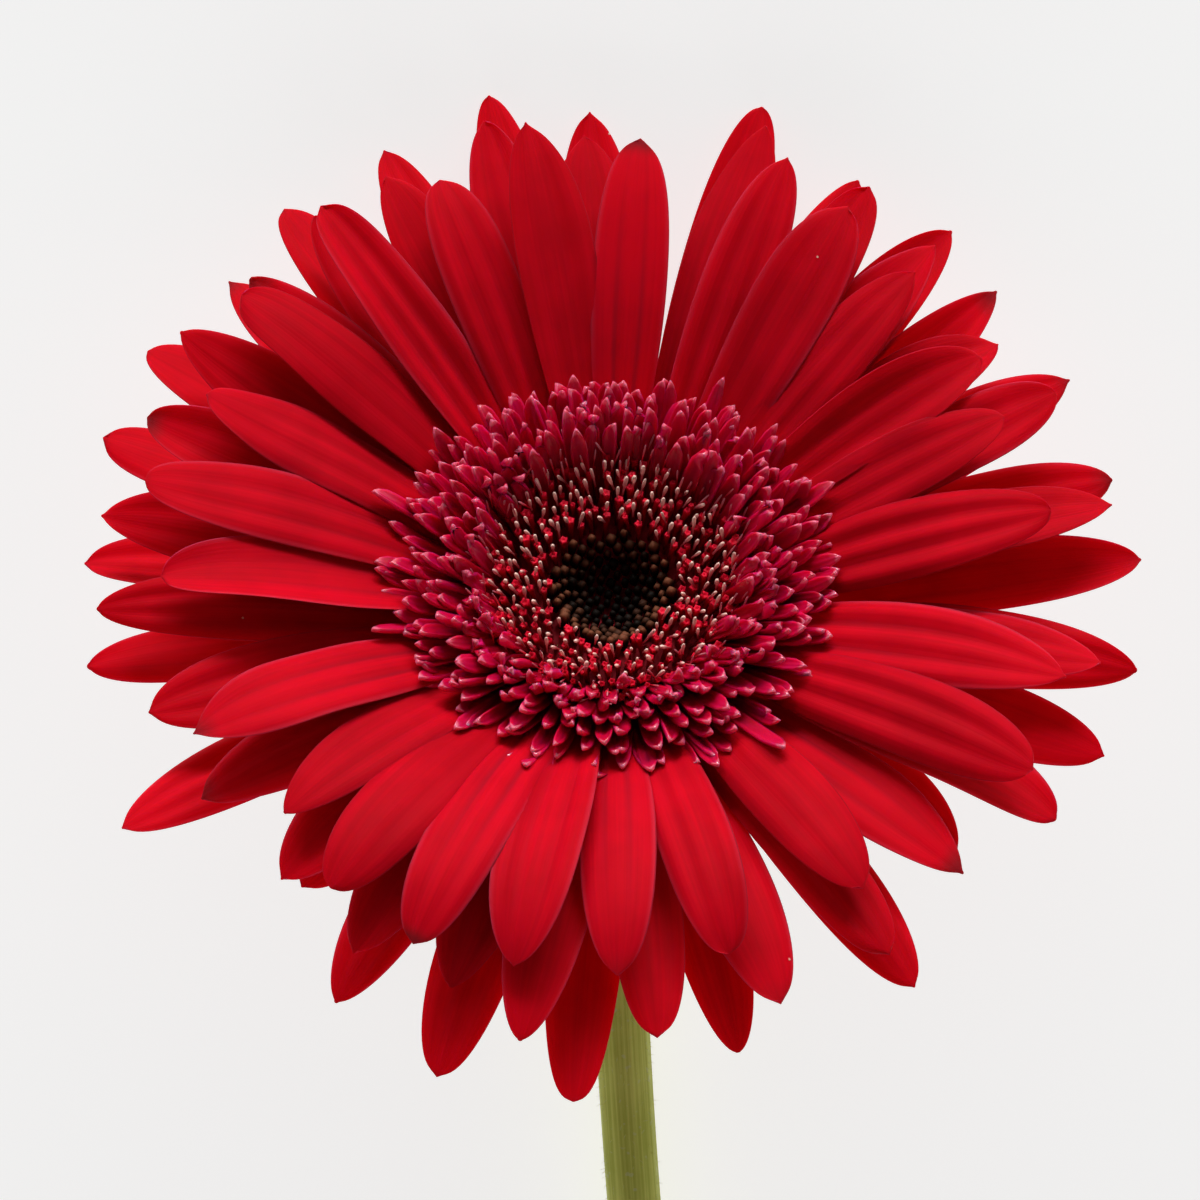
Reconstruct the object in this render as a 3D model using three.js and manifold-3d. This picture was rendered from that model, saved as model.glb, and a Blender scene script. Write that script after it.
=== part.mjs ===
// A cut gerbera lying on a table: the head is propped on the tips of its lowest petals, with its
// face looking up and towards -Y, and the stem runs back along +Y to a slanted cut.
// Millimetres and degrees, +Z up. Pieces of the head are worked out in the head's own frame, whose
// Z axis is the axis of the flower and whose Y axis points at the table side of the ring of petals.

import * as THREE from 'three';
import { ParametricGeometry } from 'three/addons/geometries/ParametricGeometry.js';
import { mergeVertices } from 'three/addons/utils/BufferGeometryUtils.js';
import Module from 'manifold-3d';

// ---------------------------------------------------------------- driving dimensions

const FACE_TILT = 40; // between the axis of the flower and straight up
const CLEARANCE = 0.3; // between pieces that would touch
const TABLE_LIFT = 12; // height along the axis to which the table pushes the tips that press on it

// Receptacle, the green cup that carries every floret.
const CUP_RADIUS = 12;
const CUP_TOP = 2.6;
const CUP_EDGE = -2.2;
const CUP_SHOULDER = -4;
const CUP_BEVEL = 0.5; // how far the shoulder stands in from the edge
const CUP_WAIST = -8;
const CUP_WAIST_RADIUS = 8;
const CUP_DEPTH = -13;
const COLLAR = 0.9; // of the receptacle around the stem

// Stem.
const STEM_RADIUS = 3.15;
const STEM_REACH = 280; // from under the head's centre to the cut, along the table
const STEM_START = -9; // on the axis of the flower, inside the receptacle
const STEM_SLOPE = 1;
const STEM_SWAY = 18; // sideways, towards -X
const BEND_SHARE = 0.65; // of the neck that belongs to the bend
const CUT_ANGLE = 35;
const STEM_SIDES = 12;
const STEM_STEPS = 60;

// Ray florets, in three rows. Each row: directions of its petals around the head, how far its
// longest tip reaches from the axis and how much shorter each petal is, the height of its feet along
// the axis, and the angle of its climb from foot to tip.
const LOWER_ROW = {
  directions: [
    0, 12, 24, 37, 49, 60, 73, 92, 103, 116, 129, 141, 152,
    164, 178, 191, 209, 226, 239, 252, 266, 284, 304, 320, 338, 349,
  ],
  reach: 57,
  shorter: [
    2, 3, 3, 4, 2, 3, 0, 3, 0, 1, 1, 3, 1,
    1, 2, 2, 0, 11, 3, 0, 0, 4, 3, 11, 3, 2,
  ],
  foot: -1.6,
  climb: 12.1,
  halfWidth: 4.3,
};
const MIDDLE_ROW = {
  directions: [
    7, 21, 34, 46, 57, 72, 93, 105, 117, 129, 140, 152, 163, 175,
    188, 201, 214, 227, 239, 250, 262, 275, 288, 301, 314, 328, 347,
  ],
  reach: 53,
  shorter: [
    1, 3, 5, 3, 2, 0, 3, 0, 2, 2, 3, 1, 2, 0,
    0, 3, 4, 5, 3, 4, 0, 1, 2, 2, 4, 0, 2,
  ],
  foot: 0,
  climb: 17.7,
  halfWidth: 4.2,
};
const FRONT_ROW = {
  directions: [
    3, 18, 31, 45, 56, 67, 87, 100, 114, 129, 143, 158,
    171, 184, 207, 221, 234, 246, 258, 271, 284, 303, 328, 342,
  ],
  reach: 49,
  shorter: [
    4, 6, 5, 4, 3, 1, 2, 0, 3, 0, 1, 4,
    1, 3, 2, 5, 2, 1, 2, 2, 3, 4, 0, 1,
  ],
  foot: 1.6,
  climb: 24.2,
  halfWidth: 4.4,
};
const PETAL_THICKNESS = 0.55;
const PETAL_CAMBER = 0.12; // rise of a petal's middle over its edges, per half width
const PETAL_FOOT_WIDTH = 0.3; // of the half width, where the petal leaves the head
const PETAL_WIDEST = 0.62; // of the length
const PETAL_ARCH = 0.3; // how much of the climb comes early, so that tips level off
const PETAL_AROUND = 8;
const PETAL_ALONG = 7;
const ROW_RING_WIDTH = 1.3; // packed feet of the middle row, joined into one ring
const ROW_RING_THICKNESS = 0.9;

// Rings of small florets, which stand on top of the receptacle: how far in from its edge their feet
// are, how far out and up their tips lean, and the share of the length that is open between teeth.
const TRANS_OUTER = { inset: 0.3, lean: [12.3, 7.3], thickness: 1.2, teeth: 40, notch: 0.16 };
const TRANS_MIDDLE = { inset: 1.4, lean: [9.9, 8.6], thickness: 1.2, teeth: 36, notch: 0.16 };
const TRANS_INNER = { inset: 2.4, lean: [6.9, 8.1], thickness: 1.1, teeth: 32, notch: 0.16 };
const DISC_FLORETS = { inset: 4.4, lean: [2, 6.4], thickness: 2.6, teeth: 28, notch: 0.12 };

// Rings of bracts: how far their feet stand off the receptacle, at its waist and at its collar.
const INNER_BRACTS = { standOff: 0.8, lean: [11.2, 6.4], thickness: 0.9, teeth: 26, notch: 0.3 };
const OUTER_BRACTS = { standOff: 1.15, lean: [11.3, 7.2], thickness: 0.9, teeth: 20, notch: 0.35 };
const OUTER_BRACT_RISE = 0.6; // of the outer bracts' feet over the bottom of the receptacle
const RING_SECTION_POINTS = 6;

const BUD_INSET = 6.4; // of the knob of buds from the receptacle's edge
const BUD_HEIGHT = 2.3; // over its foot
const BUD_HOLLOW = 1.2; // the same, at the middle of the eye
const ROUND_SIDES = 36;

// ---------------------------------------------------------------- values worked out from them

const radians = THREE.MathUtils.degToRad;
const tilt = radians(FACE_TILT);
// The head stands on its longest table-side petals, so this is how high its centre is.
const headHeight = LOWER_ROW.reach * Math.sin(tilt) - TABLE_LIFT * Math.cos(tilt);
const petalFootRadius = CUP_RADIUS + CLEARANCE;
const floretFootHeight = CUP_TOP + CLEARANCE;

const finish = (color, roughness) => new THREE.MeshStandardMaterial({ color, roughness, metalness: 0 });
const petalFinish = finish(0xb80b1c, 0.7);
const petalBackFinish = finish(0x9c0a1a, 0.75);
const transFinish = finish(0x9a1240, 0.5);
const discFinish = finish(0x8a2c3a, 0.6);
const budFinish = finish(0x2a1410, 0.6);
const greenFinish = finish(0x727630, 0.7);
const bractFinish = finish(0x5f6a2a, 0.8);

// ---------------------------------------------------------------- closed shapes and booleans

// Shared corners merged and collapsed triangles left out, so the surface is one closed shell.
function closed(geometry) {
  geometry.deleteAttribute('normal');
  geometry.deleteAttribute('uv');
  const merged = mergeVertices(geometry, 1e-4);
  const kept = [];
  const index = merged.index.array;
  for (let i = 0; i < index.length; i += 3) {
    const [a, b, c] = index.subarray(i, i + 3);
    if (a !== b && b !== c && c !== a) kept.push(a, b, c);
  }
  merged.setIndex(kept);
  return merged;
}

const wasm = await Module();
wasm.setup();

function solidOf(geometry) {
  const mesh = new wasm.Mesh({
    numProp: 3,
    vertProperties: geometry.getAttribute('position').array,
    triVerts: new Uint32Array(geometry.index.array),
  });
  return new wasm.Manifold(mesh);
}

function geometryOf(solid) {
  const mesh = solid.getMesh();
  const geometry = new THREE.BufferGeometry();
  geometry.setAttribute('position', new THREE.BufferAttribute(mesh.vertProperties, 3));
  geometry.setIndex(new THREE.BufferAttribute(mesh.triVerts, 1));
  geometry.computeVertexNormals();
  return geometry;
}

function meshOf(name, geometry, material) {
  geometry.computeVertexNormals();
  const mesh = new THREE.Mesh(geometry, material);
  mesh.name = name;
  return mesh;
}

// ---------------------------------------------------------------- ray florets

// Height that a tip needs along the axis so that it stays on or above the table.
function tableHeight(direction, reach) {
  const drop = reach * Math.sin(direction) * Math.sin(tilt);
  return (drop - headHeight) / Math.cos(tilt);
}

// Half width along a petal: it opens from a narrow foot and closes in a rounded tip.
function petalHalfWidth(along, halfWidth) {
  const opening = Math.sin((Math.PI / 2) * Math.min(1, along / PETAL_WIDEST));
  const past = Math.max(0, (along - PETAL_WIDEST) / (1 - PETAL_WIDEST));
  const open = PETAL_FOOT_WIDTH + (1 - PETAL_FOOT_WIDTH) * opening;
  return halfWidth * open * Math.sqrt(1 - past ** 2.2);
}

// A petal is a cambered lens section carried outwards along an arched line. It stays inside its own
// wedge of the ring, which reaches halfWedge to each side.
function petalGeometry(row, index, halfWedge) {
  const direction = radians(row.directions[index]);
  const reach = row.reach - row.shorter[index];
  const run = reach - petalFootRadius;
  const climb = run * Math.tan(radians(row.climb));
  const rise = Math.max(climb, tableHeight(direction, reach) - row.foot);
  const outward = new THREE.Vector3(Math.cos(direction), Math.sin(direction), 0);
  const across = new THREE.Vector3(-Math.sin(direction), Math.cos(direction), 0);
  const point = (u, v, target) => {
    const along = (1 - Math.cos(Math.PI * v)) / 2;
    const radius = petalFootRadius + run * along;
    const height = row.foot + rise * along * (1 + PETAL_ARCH * (1 - along));
    const slope = Math.atan2(rise * (1 + PETAL_ARCH * (1 - 2 * along)), run);
    const ends = v <= 0 || v >= 1 ? 0 : 1;
    const wedge = radius * Math.sin(halfWedge) - CLEARANCE / 2;
    const width = ends * Math.min(petalHalfWidth(along, row.halfWidth), wedge);
    const around = 2 * Math.PI * u;
    const camber = PETAL_CAMBER * width * Math.sin(around) ** 2;
    const lift = ends * (PETAL_THICKNESS / 2) * Math.sin(around) + camber;
    target.copy(outward).multiplyScalar(radius - lift * Math.sin(slope));
    target.addScaledVector(across, width * Math.cos(around));
    target.z = height + lift * Math.cos(slope);
  };
  return closed(new ParametricGeometry(point, PETAL_AROUND, PETAL_ALONG));
}

// Half the angle to the nearer neighbour.
function halfWedge(directions, index) {
  const count = directions.length;
  const before = directions[index] - directions[(index + count - 1) % count];
  const after = directions[(index + 1) % count] - directions[index];
  return radians(Math.min((before + 360) % 360, (after + 360) % 360) / 2);
}

const petalGeometries = (row) =>
  row.directions.map((_, index) => petalGeometry(row, index, halfWedge(row.directions, index)));

function petalRow(name, row, material) {
  return petalGeometries(row).map((geometry, index) =>
    meshOf(name + '_' + String(index + 1).padStart(2, '0'), geometry, material));
}

// The middle row's feet are packed into one ring around the receptacle.
function joinedRow(name, row, material) {
  const inner = petalFootRadius;
  const outer = petalFootRadius + ROW_RING_WIDTH;
  const half = ROW_RING_THICKNESS / 2;
  const profile = [[inner, -half], [outer, -half], [outer, half], [inner, half], [inner, -half]];
  const ring = latheGeometry(profile.map(([radius, height]) => [radius, row.foot + height]));
  const joined = petalGeometries(row).reduce((solid, petal) => solid.add(solidOf(petal)), solidOf(ring));
  return meshOf(name, geometryOf(joined), material);
}

// ---------------------------------------------------------------- rings and round pieces

// A profile of [radius, height] turned about the axis of the flower.
function latheGeometry(profile) {
  const points = profile.map(([radius, height]) => new THREE.Vector2(radius, height));
  return closed(new THREE.LatheGeometry(points, ROUND_SIDES).rotateX(Math.PI / 2));
}

// A lens section that leans from foot to tip, carried round the axis. Its length drops by the notch
// between one tooth and the next.
function toothedRing(name, ring, foot, material) {
  const lean = new THREE.Vector2(...ring.lean);
  const side = new THREE.Vector2(-lean.y, lean.x).normalize();
  const point = (u, v, target) => {
    const step = Math.round(v * ring.teeth * 2);
    const length = step % 2 === 0 ? 1 : 1 - ring.notch;
    const along = (length * (1 - Math.cos(2 * Math.PI * u))) / 2;
    const offset = (ring.thickness / 2) * Math.sin(2 * Math.PI * u);
    const radius = foot.x + lean.x * along + side.x * offset;
    const height = foot.y + lean.y * along + side.y * offset;
    const angle = 2 * Math.PI * v;
    target.set(radius * Math.cos(angle), radius * Math.sin(angle), height);
  };
  const geometry = closed(new ParametricGeometry(point, RING_SECTION_POINTS, ring.teeth * 2));
  return meshOf(name, geometry, material);
}

// A ring of florets that stands on top of the receptacle.
function floretRing(name, ring, material) {
  const foot = new THREE.Vector2(CUP_RADIUS - ring.inset, floretFootHeight);
  return toothedRing(name, ring, foot, material);
}

// The unopened buds in the eye: a low knob with a sunken middle.
function budKnob(name, material) {
  const radius = CUP_RADIUS - BUD_INSET;
  const profile = [
    [0, 0],
    [radius, 0],
    [radius, BUD_HEIGHT / 2],
    [radius * 0.8, BUD_HEIGHT],
    [radius * 0.45, (BUD_HEIGHT + BUD_HOLLOW) / 2],
    [0, BUD_HOLLOW],
  ];
  return meshOf(name, latheGeometry(profile).translate(0, 0, floretFootHeight), material);
}

// ---------------------------------------------------------------- stem and receptacle

const cutPoint = new THREE.Vector3(
  0,
  STEM_REACH,
  STEM_RADIUS / Math.cos(radians(STEM_SLOPE))
    + STEM_RADIUS * Math.tan(radians(CUT_ANGLE)) * Math.tan(radians(STEM_SLOPE)),
);

// The stem leaves the receptacle along the axis of the flower, bends in a smooth neck and lies down
// at a slight slope to the cut. Neck line and resting line meet at the corner of the bend.
class StemLine extends THREE.Curve {
  constructor(extra) {
    super();
    const neck = new THREE.Vector3(0, Math.sin(tilt), -Math.cos(tilt));
    const rest = new THREE.Vector3(0, Math.cos(radians(STEM_SLOPE)), -Math.sin(radians(STEM_SLOPE)));
    const start = new THREE.Vector3(0, 0, headHeight).addScaledVector(neck, -STEM_START);
    const gap = cutPoint.clone().sub(start);
    const neckLength = (gap.z * rest.y - gap.y * rest.z) / (neck.z * rest.y - neck.y * rest.z);
    const bend = neckLength * BEND_SHARE;
    const corner = start.clone().addScaledVector(neck, neckLength);
    const bendStart = corner.clone().addScaledVector(neck, -bend);
    const bendEnd = corner.clone().addScaledVector(rest, bend);
    this.end = cutPoint.clone().addScaledVector(rest, extra);
    this.swayStart = bendStart.y;
    this.path = new THREE.CurvePath();
    this.path.add(new THREE.LineCurve3(start, bendStart));
    this.path.add(new THREE.QuadraticBezierCurve3(bendStart, corner, bendEnd));
    this.path.add(new THREE.LineCurve3(bendEnd, this.end));
  }

  // Sideways, the stem eases over to one side and runs straight again at the cut.
  sway(y) {
    const share = Math.max(0, (y - this.swayStart) / (STEM_REACH - this.swayStart));
    return (-STEM_SWAY * (1 - Math.cos(Math.PI * Math.min(1, share)))) / 2;
  }

  getPoint(t, target = new THREE.Vector3()) {
    target.copy(this.path.getPoint(t));
    target.x += this.sway(target.y);
    return target;
  }
}

function stemAndReceptacle(name, headMatrix, material) {
  const line = new StemLine(STEM_RADIUS * 2);
  const section = new THREE.Shape().absarc(0, 0, STEM_RADIUS, 0, 2 * Math.PI, false);
  const settings = {
    steps: STEM_STEPS,
    curveSegments: STEM_SIDES / 2,
    bevelEnabled: false,
    extrudePath: line,
  };
  const stem = solidOf(closed(new THREE.ExtrudeGeometry(section, settings)));
  const cutter = new THREE.BoxGeometry(STEM_RADIUS * 6, STEM_RADIUS * 6, STEM_RADIUS * 6);
  cutter.translate(0, STEM_RADIUS * 3, 0).rotateX(radians(CUT_ANGLE));
  cutter.translate(line.sway(STEM_REACH), cutPoint.y, cutPoint.z);
  const cup = latheGeometry([
    [0, CUP_DEPTH],
    [STEM_RADIUS + COLLAR, CUP_DEPTH],
    [CUP_WAIST_RADIUS, CUP_WAIST],
    [CUP_RADIUS - CUP_BEVEL, CUP_SHOULDER],
    [CUP_RADIUS, CUP_EDGE],
    [CUP_RADIUS, CUP_TOP],
    [0, CUP_TOP],
  ]);
  const joined = stem.subtract(solidOf(closed(cutter))).add(solidOf(cup.applyMatrix4(headMatrix)));
  return meshOf(name, geometryOf(joined), material);
}

// ---------------------------------------------------------------- the flower

const innerBractFoot = new THREE.Vector2(CUP_WAIST_RADIUS + INNER_BRACTS.standOff, CUP_WAIST);
const outerBractFoot = new THREE.Vector2(
  STEM_RADIUS + COLLAR + OUTER_BRACTS.standOff,
  CUP_DEPTH + OUTER_BRACT_RISE,
);

const head = new THREE.Group();
head.position.z = headHeight;
head.rotation.set(tilt, 0, Math.PI);
head.updateMatrix();
head.add(
  ...petalRow('petal_lower', LOWER_ROW, petalBackFinish),
  joinedRow('petals_middle', MIDDLE_ROW, petalFinish),
  ...petalRow('petal_front', FRONT_ROW, petalFinish),
  floretRing('trans_florets_outer', TRANS_OUTER, transFinish),
  floretRing('trans_florets_middle', TRANS_MIDDLE, transFinish),
  floretRing('trans_florets_inner', TRANS_INNER, transFinish),
  floretRing('disc_florets', DISC_FLORETS, discFinish),
  budKnob('disc_buds', budFinish),
  toothedRing('inner_bracts', INNER_BRACTS, innerBractFoot, bractFinish),
  toothedRing('outer_bracts', OUTER_BRACTS, outerBractFoot, bractFinish),
);

// The origin is on the table, under the middle of the whole flower's bounding box.
const flower = new THREE.Group();
flower.add(head, stemAndReceptacle('stem_and_receptacle', head.matrix, greenFinish));
flower.updateMatrixWorld(true);
const box = new THREE.Box3().setFromObject(flower, true);
const middle = box.getCenter(new THREE.Vector3());
flower.position.set(-middle.x, -middle.y, -box.min.z);

const gerbera = new THREE.Group();
gerbera.add(flower);

export default gerbera;
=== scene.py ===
"""Cut gerbera: its petals, florets, bracts and stem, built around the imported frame.

Everything is worked out in metres in the frame's own axes. The flower head has axes of its own: the
head's centre is where the petal rows meet, its Z runs up through the middle of the disc, and an
azimuth turns from its X to its Y. Blades (petals, tongue florets and bracts), rods (disc florets, buds
and hairs) and the stem are closed tubes of points on a grid, and differ in the sections they carry.
"""
import math

import bpy
import numpy as np
from mathutils import Matrix


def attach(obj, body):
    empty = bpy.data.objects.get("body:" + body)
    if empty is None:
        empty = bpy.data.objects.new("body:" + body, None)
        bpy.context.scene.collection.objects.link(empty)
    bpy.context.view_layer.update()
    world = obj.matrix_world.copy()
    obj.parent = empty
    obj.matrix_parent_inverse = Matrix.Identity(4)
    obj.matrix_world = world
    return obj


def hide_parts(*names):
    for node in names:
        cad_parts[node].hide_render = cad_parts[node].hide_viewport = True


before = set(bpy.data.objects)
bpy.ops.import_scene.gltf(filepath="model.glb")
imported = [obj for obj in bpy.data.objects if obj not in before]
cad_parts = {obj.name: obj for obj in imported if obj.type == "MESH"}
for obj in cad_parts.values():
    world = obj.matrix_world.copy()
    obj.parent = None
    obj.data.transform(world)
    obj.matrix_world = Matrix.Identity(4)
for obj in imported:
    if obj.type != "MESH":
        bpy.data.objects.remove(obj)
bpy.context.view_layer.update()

bl_info = {
    "name": "Cut gerbera",
    "version": (1, 0, 0),
    "blender": (4, 5, 0),
    "location": "3D View > Sidebar > Gerbera",
    "description": "Builds the petals, florets, bracts and stem of a cut gerbera around its frame",
    "category": "Object",
}

MM = 0.001
BODY = "root"
GOLDEN_ANGLE = math.pi * (3 - math.sqrt(5))
SAME_TIP = math.radians(4)
TABLE_CLEARANCE = 0.05 * MM
CUT_SECTIONS = 8

# Places on the head, as radii and heights from its centre. They follow the frame's nodes, so they
# aren't sizes to be changed by themselves.
BUDS_OVER_CENTRE = 2.9 * MM
LOWER_FOOT, MIDDLE_FOOT, FRONT_FOOT = -1.6 * MM, 0.0, 1.6 * MM
TONGUE_RING = (14.6 * MM, 25.0 * MM)
TONGUE_FOOT = 2.6 * MM
FLORET_RING_EDGE = 14.8 * MM
FLORET_FOOT = 2.4 * MM
CAP_RADIUS = 12 * MM
CAP_TOP = 2.6 * MM
CAP_DEPTH = 4.8 * MM
CAP_TAPER = 14.2 * MM
STEM_START = 9 * MM
CUT_LENGTH = 4.7 * MM

# The room, in metres: each light's distance from the head, width and height, and half the floor.
KEY_DISTANCE, KEY_SIZE = 1.6, (1.5, 0.4)
STEM_LIGHT_DISTANCE, STEM_LIGHT_SIZE = 3.0, (2.6, 2.6)
FLOOR_HALF = 6.0

LOWER_NODES = sorted(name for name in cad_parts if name.startswith("petal_lower_"))
FRONT_NODES = sorted(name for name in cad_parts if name.startswith("petal_front_"))


# --- The frame: where the head is, and where its tips are -----------------------------------------

def node_points(name):
    """The corners of a CAD node's mesh, one row each, in metres."""
    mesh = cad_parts[name].data
    flat = np.empty(len(mesh.vertices) * 3, np.float32)
    mesh.vertices.foreach_get("co", flat)
    return flat.reshape(-1, 3).astype(float)


def unit(vectors):
    """The vectors, each divided by its own length."""
    return vectors / np.maximum(np.linalg.norm(vectors, axis=-1, keepdims=True), 1e-12)


RING_MIDDLE = node_points("trans_florets_outer").mean(0)
HEAD_Z = unit(RING_MIDDLE - node_points("outer_bracts").mean(0))
HEAD_X = np.array([-1.0, 0.0, 0.0])
HEAD_Y = np.cross(HEAD_Z, HEAD_X)
HEAD_AXES = np.stack([HEAD_X, HEAD_Y, HEAD_Z])
BUD_BASE = (node_points("disc_buds") @ HEAD_Z).min()
HEAD_CENTRE = RING_MIDDLE + HEAD_Z * (BUD_BASE - BUDS_OVER_CENTRE - RING_MIDDLE @ HEAD_Z)


def from_head(points):
    """Points in the head's axes, taken to the frame's."""
    return points @ HEAD_AXES + HEAD_CENTRE


def polar(name):
    """Azimuth, radius and height in the head's axes of every corner of a CAD node."""
    x, y, z = ((node_points(name) - HEAD_CENTRE) @ HEAD_AXES.T).T
    return np.arctan2(y, x) % math.tau, np.hypot(x, y), z


def petal_tips(names):
    """Azimuth, radius and height of each named petal's tip: its corner farthest from the head's axis."""
    corners = [np.stack(polar(name), 1) for name in names]
    return np.array([rows[rows[:, 1].argmax()] for rows in corners])


def ring_tips(name):
    """Azimuth, radius and height of every tip of a ring of blades.

    A tip is a corner that no other within SAME_TIP of it reaches beyond, and corners that close
    together count as one tip, at their mean.
    """
    azimuth, radius, height = polar(name)
    outer = np.flatnonzero(radius > 0.8 * radius.max())
    outer = outer[np.argsort(azimuth[outer])]
    azimuth, radius, height = azimuth[outer], radius[outer], height[outer]
    apart = np.abs((azimuth[:, None] - azimuth[None, :] + math.pi) % math.tau - math.pi)
    farthest = np.where(apart < SAME_TIP, radius[None, :], 0).max(1)
    tip = radius > farthest - 0.01 * MM
    azimuth, radius, height = azimuth[tip], radius[tip], height[tip]
    group = np.concatenate([[0], np.cumsum(np.diff(azimuth) > SAME_TIP)])
    if azimuth[0] + math.tau - azimuth[-1] < SAME_TIP:
        azimuth = np.where(group == group[-1], azimuth - math.tau, azimuth)
        group[group == group[-1]] = 0
    size = np.bincount(group)
    return np.stack([np.bincount(group, row) / size for row in (azimuth, radius, height)], 1)


# --- Surfaces: grids of points and the faces on them ----------------------------------------------

def skin(along, around):
    """Faces of one closed tube of along * around points, all facing out.

    Quads go round the side. Each end is crossed by a strip of quads with a triangle at either side.
    """
    station, corner = np.meshgrid(np.arange(along - 1), np.arange(around), indexing="ij")
    following = (corner + 1) % around
    ring, next_ring = station * around, (station + 1) * around
    sides = np.stack([ring + corner, ring + following, next_ring + following, next_ring + corner], -1)
    half = around // 2
    across = np.arange(1, half - 1)
    strip = np.stack([across, across + 1, around - across - 1, around - across], -1)
    corners = np.array([[0, 1, around - 1], [half - 1, half, half + 1]])
    last = (along - 1) * around
    quads = np.concatenate([sides.reshape(-1, 4), strip + last, strip[:, ::-1]])
    return quads, np.concatenate([corners + last, corners[:, ::-1]])


def row(values):
    """One value for each blade or rod, shaped to go with its stations."""
    return np.asarray(values, float).reshape(-1, 1)


def marked(points, **marks):
    """The points, with a number of each name for every point, spread over those that share it."""
    shape = points.shape[:-1]
    return points, {name: np.broadcast_to(values, shape) for name, values in marks.items()}


def blades(feet, tips, form, along, around):
    """Closed blades, as points (blade, station, corner, xyz) in the frame's axes, with q and s.

    feet holds radius and height, tips azimuth, radius and height. s runs from foot to tip, close
    spaced at both ends, and q = cos(turn) across, with the thickness on sin(turn), so a section is
    a lens. The middle line's radius grows evenly; its height is rise * s * (1 + arch(1 - s)) plus a
    swell of s squared times (1 - s); it bends sideways with s squared, and its last quarter curls up
    and hooks back with the square of the way into it. The width rises as a sine from its share at the
    foot to the whole at `widest`, then falls as (1 - u ** 2.2) ** blunt. The section is cupped by q
    squared, has three ridges as |cos(1.5 pi q)| ** 1.3, and waves at its edges; it rolls about the
    middle line by roll + twist * s. The outline's end is drawn back by q squared.
    """
    s = (1 - np.cos(np.linspace(0, math.pi, along))) / 2
    turn = np.linspace(0, math.tau, around, endpoint=False)
    q = np.cos(turn)
    side = np.sin(turn)
    form = {name: row(value) for name, value in form.items()}
    rise = row(tips[:, 2]) - row(feet[:, 1])
    late = np.clip((s - 0.75) / 0.25, 0, 1) ** 2
    radius = row(feet[:, 0]) + (row(tips[:, 1]) - row(feet[:, 0])) * s - form["hook"] * late
    height = row(feet[:, 1]) + rise * s * (1 + form["arch"] * (1 - s))
    height = height + form["swell"] * 6.75 * s**2 * (1 - s) + form["curl"] * late
    sideways = form["bend"] * s**2
    middle = np.stack(np.broadcast_arrays(radius, sideways, height), -1)
    ahead = unit(np.gradient(middle, s, axis=1))
    level = unit(np.stack([-ahead[..., 1], ahead[..., 0], 0 * ahead[..., 0]], -1))
    upward = np.cross(ahead, level)
    roll = (form["roll"] + form["twist"] * s)[..., None]
    level, upward = (
        level * np.cos(roll) + upward * np.sin(roll),
        upward * np.cos(roll) - level * np.sin(roll),
    )
    opening = np.sin(np.clip(s / form["widest"], 0, 1) * math.pi / 2)
    closing = 1 - np.clip((s - form["widest"]) / (1 - form["widest"]), 0, 1) ** 2.2
    fullness = (form["neck"] + (1 - form["neck"]) * opening) * closing ** form["blunt"]
    fullness = np.maximum(fullness, form["end"])
    width = (form["half_width"] * fullness)[..., None]
    full = np.sin(math.pi * s)[:, None] ** 0.6
    ridges = np.abs(np.cos(1.5 * math.pi * q)) ** 1.3
    wave = np.sin(math.tau * form["waves"] * s + form["phase"])[..., None]
    lift = form["cup"][..., None] * width * q**2
    lift = lift + form["pleat"][..., None] * ridges * full * fullness[..., None]
    lift = lift + form["ripple"][..., None] * wave * q**2 * np.sign(q) * s[:, None]
    thick = form["thickness"][..., None] * (0.4 + 0.6 * fullness[..., None]) / 2
    lift = lift + thick * side
    back = (form["round"] * late)[..., None] * q**2
    points = middle[:, :, None] + level[:, :, None] * (width * q)[..., None]
    points = points + upward[:, :, None] * lift[..., None] - ahead[:, :, None] * back[..., None]
    cosine = np.cos(tips[:, 0])[:, None, None]
    sine = np.sin(tips[:, 0])[:, None, None]
    out, over, high = np.moveaxis(points, -1, 0)
    turned = np.stack([out * cosine - over * sine, out * sine + over * cosine, high], -1)
    return marked(from_head(turned), across=q, along=s[:, None], face=side)


PLAIN_BLADE = {
    "hook": 0, "arch": 0.3, "swell": 0, "curl": 0, "bend": 0, "roll": 0, "twist": 0, "widest": 0.6,
    "neck": 0.35, "blunt": 0.6, "end": 0.06, "half_width": 4 * MM, "thickness": 0.45 * MM, "cup": 0,
    "pleat": 0, "ripple": 0, "waves": 2, "phase": 0, "round": 0,
}


def rods(bases, tips, girth, profile, around, lobes=0.0):
    """Closed rods, knobs and cups, as points (rod, station, corner, xyz), with their marks.

    Each is turned about the line from its base to its tip. A profile point gives the share of that
    line and the share of the girth. Lobes widen every second corner and narrow the others.
    """
    profile = np.asarray(profile, float)
    axis = tips - bases
    ahead = unit(axis)
    right = unit(np.cross(ahead, HEAD_X + 0.3 * HEAD_Y))
    up = np.cross(ahead, right)
    turn = np.linspace(0, math.tau, around, endpoint=False)
    lobe = 1 + lobes * np.cos(turn * around / 2)
    spread = row(girth)[:, :, None] * profile[None, :, 1, None] * lobe
    middle = bases[:, None] + axis[:, None] * profile[None, :, 0, None]
    points = middle[:, :, None] + right[:, None, None] * (spread * np.cos(turn))[..., None]
    points = points + up[:, None, None] * (spread * np.sin(turn))[..., None]
    return marked(points, across=np.cos(turn), along=np.linspace(0, 1, len(profile))[:, None], face=1.0)


def above_table(points, clearance):
    """The points, with each section that would go lower raised until it clears the table."""
    lowest = points[..., 2].min(-1)
    raised = points.copy()
    raised[..., 2] += np.maximum(0, clearance - lowest)[..., None]
    return raised


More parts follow.
